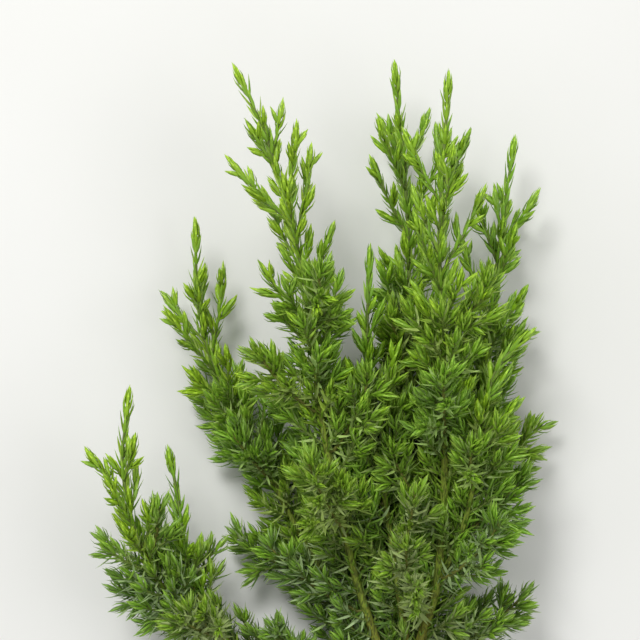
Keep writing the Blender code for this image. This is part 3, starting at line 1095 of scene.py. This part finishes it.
def bark_material():
    """Brown bark in long fibres near the cut, that gives way to green towards the tips."""
    finish = Finish("bark", roughness=0.82)
    forward = finish.node("ShaderNodeSeparateXYZ", {"Vector": finish.place}).outputs["Y"]
    start, end = (CUT_END[1] + distance for distance in BARK_REACH)
    limits = {"From Min": start, "From Max": end, "To Min": -BARK_PATCHES / 2}
    limits["To Max"] = 1 - BARK_PATCHES / 2
    reach = finish.node("ShaderNodeMapRange", {"Value": forward, **limits}).outputs["Result"]
    patches = {0: finish.noise(scale=110, detail=3), 1: BARK_PATCHES, 2: reach}
    share = finish.node("ShaderNodeMath", patches, operation="MULTIPLY_ADD").outputs["Value"]
    fibres = finish.noise(scale=1400, detail=6, place=finish.mapped(Scale=FIBRE_STRETCH))
    colours = {0: finish.ramp(share, BARKS), 1: finish.ramp(fibres, FIBRE_SHADES)}
    colour = finish.node("ShaderNodeVectorMath", colours, operation="MULTIPLY").outputs["Vector"]
    return finish.finished(colour, fibres, strength=0.7, depth=0.25 * MM)


def wood_material():
    """The sawn face: rings round the pith, which lies on the axis of the stem."""
    finish = Finish("sawn_wood", roughness=0.7)
    inputs = {"Vector": finish.mapped(Location=tuple(-AXES["stem"][0])), "Scale": WOOD_RINGS}
    inputs |= {"Distortion": 1.5, "Detail": 2}
    rings = finish.node("ShaderNodeTexWave", inputs, wave_type="RINGS", rings_direction="Y")
    colour = finish.ramp(rings.outputs["Fac"], WOODS)
    return finish.finished(colour, rings.outputs["Fac"], strength=0.2, depth=0.1 * MM)


# Stage


def floor():
    half = FLOOR_HALF
    corners = [(-half, -half, 0), (half, -half, 0), (half, half, 0), (-half, half, 0)]
    mesh = bpy.data.meshes.new("floor")
    mesh.from_pydata(corners, [], [(0, 1, 2, 3)])
    pale = mottled("pale_floor", FLOOR, roughness=0.8, scale=3, bump=0.0)
    piece_of(mesh, [pale])


def light(lamp):
    disk = bpy.data.lights.new(lamp.name, "AREA")
    disk.shape = "DISK"
    disk.size = lamp.size
    disk.energy = lamp.power
    made = bpy.data.objects.new(lamp.name, disk)
    made.location = lamp.place
    direction = Vector(SUBJECT) - Vector(lamp.place)
    made.rotation_euler = direction.to_track_quat("-Z", "Y").to_euler()
    bpy.context.scene.collection.objects.link(made)


def lights():
    """Soft light from beyond the tips, and a little more from the other side."""
    for lamp in LAMPS:
        light(lamp)
    world = bpy.data.worlds.new("studio")
    world.use_nodes = True
    background = world.node_tree.nodes["Background"]
    background.inputs["Color"].default_value = (1, 1, 1, 1)
    background.inputs["Strength"].default_value = WORLD_STRENGTH
    bpy.context.scene.world = world
    bpy.context.scene.view_settings.view_transform = "Standard"


def camera():
    """Straight above the branch, with the photograph's frame: the cut end lies below it."""
    lens = bpy.data.cameras.new("camera")
    lens.lens = CAMERA_LENS
    lens.sensor_width = CAMERA_SENSOR
    made = bpy.data.objects.new("camera", lens)
    made.location = CAMERA_PLACE
    bpy.context.scene.collection.objects.link(made)
    bpy.context.scene.camera = made


# The branch


def dressed(piece, nodes=()):
    """The piece rides with the branch, and stands for those nodes of its solids."""
    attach(piece, "root")
    if nodes:
        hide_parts(*nodes)


def wood(twigs, masses):
    """Bark in place of each limb, and the wood of the twigs in place of the masses."""
    materials = (bark_material(), wood_material())
    for limb in LIMBS:
        dressed(bark_piece(limb, materials), [limb.name])
    brown = mottled("brown_twig", BROWN_TWIG, roughness=0.7, scale=700, bump=0.4)
    green = mottled("green_twig", GREEN_TWIG, roughness=0.55, scale=700, bump=0.3)
    piece = twig_piece("twigs", twigs, (brown, green))
    dressed(piece, [mass.name for mass in masses])


def foliage(twigs, masses):
    """The needles of all twigs, in pieces of one tone."""
    rng = generator("needles")
    ages = ages_of(masses)
    needles = joined([needles_on(twig, ages[twig.mass], rng) for twig in twigs])
    heights = needle_corners(needles)[:, :, 2].min(axis=1)
    needles = chosen(needles, heights > LOWEST_NEEDLE)
    most = MOST_TRIANGLES // NEEDLE_TRIANGLES
    for number, (name, tone) in enumerate(TONES.items()):
        materials = needle_materials(name, tone)
        rows = np.flatnonzero(needles.tone == number)
        for count, first in enumerate(range(0, len(rows), most)):
            part = chosen(needles, rows[first : first + most])
            dressed(needle_piece(f"needles_{name}_{count + 1}", part, materials))


def main():
    masses = grown_masses()
    twigs = [
        twig for index, mass in enumerate(masses) for twig in finer_growth(mass, index, masses)
    ]
    twigs += [twig for limb in LIMBS for twig in limb_twigs(limb, masses)]
    wood(twigs, masses)
    foliage(twigs + [leafy_wood(limb, index) for index, limb in enumerate(LIMBS)], masses)
    floor()
    lights()
    camera()


main()
